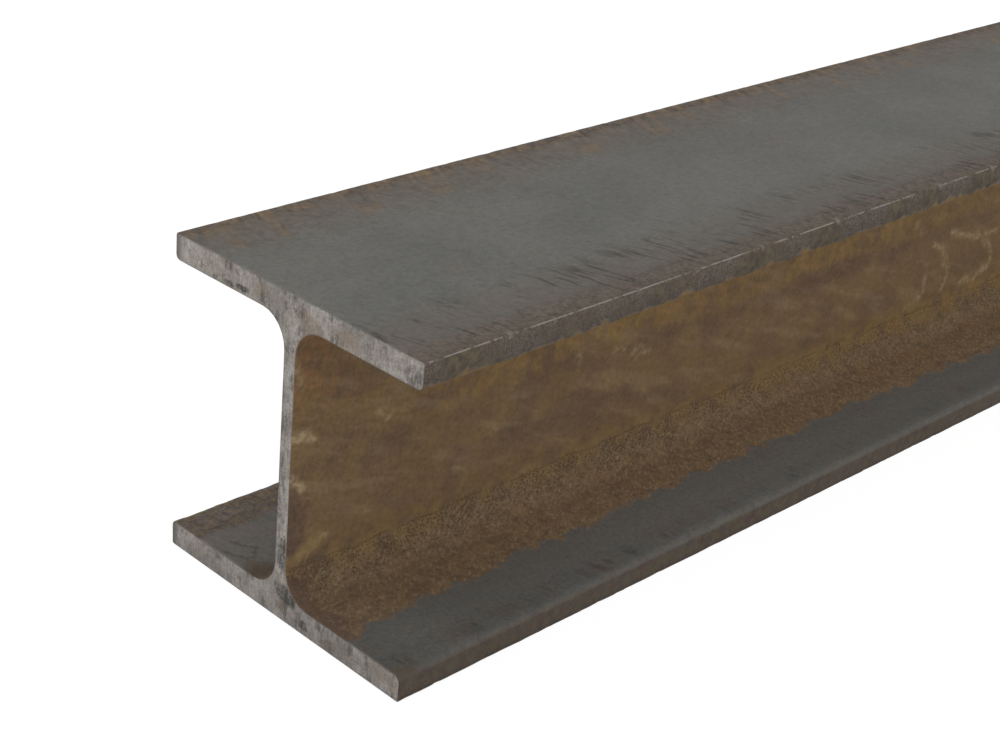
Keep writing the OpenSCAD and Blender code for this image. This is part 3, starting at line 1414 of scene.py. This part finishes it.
    @staticmethod
    def _dress(g: Graph, given: Outputs, beam: Signal) -> Signal:
        """Parts the sawn ends from the rolled skin, shades them and cuts all faces to triangles.

        Args:
            g: The tree.
            given: The tree's inputs.
            beam: The shaped mesh.

        Returns:
            The finished geometry.
        """
        x, _, _ = g.split(g.node("GeometryNodeInputPosition")[0])
        nx, _, _ = g.split(g.node("GeometryNodeInputNormal")[0])
        rim = given["Rim"] * 0.9
        ends = (x < given["Start"] + rim).most(x > given["Finish"] - rim)
        sawn = abs(nx) > 0.9
        smooth = g.node("GeometryNodeSetShadeSmooth", {"domain": "FACE"},
                        {"Geometry": beam, "Shade Smooth": 1.0 - ends})[0]
        cut = g.node("GeometryNodeTriangulate", {}, {0: smooth})[0]
        whole = g.node("GeometryNodeRealizeInstances", {}, {0: cut})[0]
        skinned = g.node("GeometryNodeSetMaterial", {},
                         {"Geometry": whole, "Material": given["Skin"]})[0]
        return g.node("GeometryNodeSetMaterial", {},
                      {"Geometry": skinned, "Selection": sawn, "Material": given["Sawn"]})[0]


@dataclass(frozen=True)
class Lamp:
    """A square area lamp."""

    name: str
    place: tuple[float, float, float]
    target: tuple[float, float, float]
    size: float
    power: float

    def build(self) -> None:
        """Hangs the lamp at its place, turned to its target and hidden from the camera."""
        data = bpy.data.lights.new(self.name, "AREA")
        data.shape = "SQUARE"
        data.size = self.size
        data.energy = self.power
        lamp = bpy.data.objects.new(self.name, data)
        bpy.context.scene.collection.objects.link(lamp)
        lamp.location = self.place
        lamp.rotation_mode = "QUATERNION"
        aim = Vector(self.target) - Vector(self.place)
        lamp.rotation_quaternion = aim.to_track_quat("-Z", "Y")
        lamp.visible_camera = False


@dataclass(frozen=True)
class Studio:
    """White floor, soft lamps and the camera. None of it is part of the object.

    Angles are in degrees: heading turns the camera round the beam, dip looks down and roll
    leans the frame. floor_white is how much of the floor's own glow the camera sees.
    """

    eye: tuple[float, float, float] = (-0.95227, -0.52606, 0.46616)
    heading: float = -43.909
    dip: float = 26.978
    roll: float = 4.02
    lens: float = 66.2292
    sensor: float = 36.0
    shift: tuple[float, float] = (0.12, 0.025)
    sky: float = 0.56
    floor_half: float = 6.0
    floor_drop: float = 0.0004
    floor_grey: float = 0.82
    floor_glow: float = 1.12
    floor_white: float = 0.82
    lamps: tuple[Lamp, ...] = (
        Lamp("overhead", (-0.3, -0.3, 2.2), (-0.1, 0.0, 0.0), 2.4, 9.0),
        Lamp("front", (0.35, -1.4, 0.5), (0.1, 0.0, 0.05), 1.0, 4.1),
        Lamp("far", (1.2, -2.4, 1.0), (0.1, 0.0, 0.05), 2.0, 4.0),
        Lamp("end", (-2.4, -1.0, 1.0), (-0.5, 0.0, 0.08), 1.4, 5.2),
        Lamp("left", (-1.3, 1.5, 0.9), (-0.4, 0.05, 0.02), 1.2, 11.0),
    )

    def build(self) -> None:
        """Sets the stage, the lamps, the world and the camera."""
        self._floor()
        self._world()
        for lamp in self.lamps:
            lamp.build()
        self._camera()
        bpy.context.scene.view_settings.view_transform = "Standard"

    def _floor(self) -> None:
        """A wide level floor that looks white and keeps a soft shadow."""
        mesh = bpy.data.meshes.new("floor")
        half, level = self.floor_half, -self.floor_drop
        corners = ((-half, -half), (half, -half), (half, half), (-half, half))
        mesh.from_pydata([(x, y, level) for x, y in corners], [], [(0, 1, 2, 3)])
        floor = bpy.data.objects.new("floor", mesh)
        bpy.context.scene.collection.objects.link(floor)
        p = Paint("white_floor")
        rays = p.node("ShaderNodeLightPath")
        seen = rays["Is Camera Ray"].most(rays["Is Glossy Ray"]).most(rays["Is Transmission Ray"])
        paper = p.node("ShaderNodeBsdfDiffuse", {}, {"Color": (self.floor_grey,) * 3})[0]
        glow = p.node("ShaderNodeEmission", {}, {"Color": WHITE, "Strength": self.floor_glow})[0]
        share = seen * self.floor_white
        both = p.node("ShaderNodeMixShader", {}, {0: share, 1: paper, 2: glow})[0]
        p.node("ShaderNodeOutputMaterial", {}, {"Surface": both})
        mesh.materials.append(p.material)

    def _world(self) -> None:
        """An even pale sky, white where the camera sees it."""
        world = bpy.data.worlds.new("studio")
        world.use_nodes = True
        world.node_tree.nodes.clear()
        g = Graph(world.node_tree)
        rays = g.node("ShaderNodeLightPath")
        seen = rays["Is Camera Ray"].most(rays["Is Transmission Ray"])
        strength = self.sky + seen * (1.0 - self.sky)
        back = g.node("ShaderNodeBackground", {}, {"Color": WHITE, "Strength": strength})[0]
        g.node("ShaderNodeOutputWorld", {}, {"Surface": back})
        bpy.context.scene.world = world

    def _camera(self) -> None:
        """The camera, close to the near end and a little above the top flange."""
        data = bpy.data.cameras.new("camera")
        data.sensor_width = self.sensor
        data.lens = self.lens
        data.shift_x, data.shift_y = self.shift
        data.clip_start, data.clip_end = 0.01, 100.0
        camera = bpy.data.objects.new("camera", data)
        bpy.context.scene.collection.objects.link(camera)
        turned, dipped = math.radians(self.heading), math.radians(self.dip)
        level = math.cos(dipped)
        back = Vector((math.sin(turned) * level, -math.cos(turned) * level, math.sin(dipped)))
        tilt = Matrix.Rotation(math.radians(self.roll), 3, "Z")
        turn = (-back).to_track_quat("-Z", "Y").to_matrix() @ tilt
        camera.matrix_world = Matrix.Translation(self.eye) @ turn.to_4x4()
        bpy.context.scene.camera = camera


def main() -> None:
    """Builds the beam and the studio."""
    logging.basicConfig(level=logging.INFO, format="%(name)s: %(message)s")
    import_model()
    beam = RolledBeam().build()
    LOG.info("%s: %d faces", beam.name, len(beam.data.polygons))
    Studio().build()


if __name__ == "__main__":
    main()
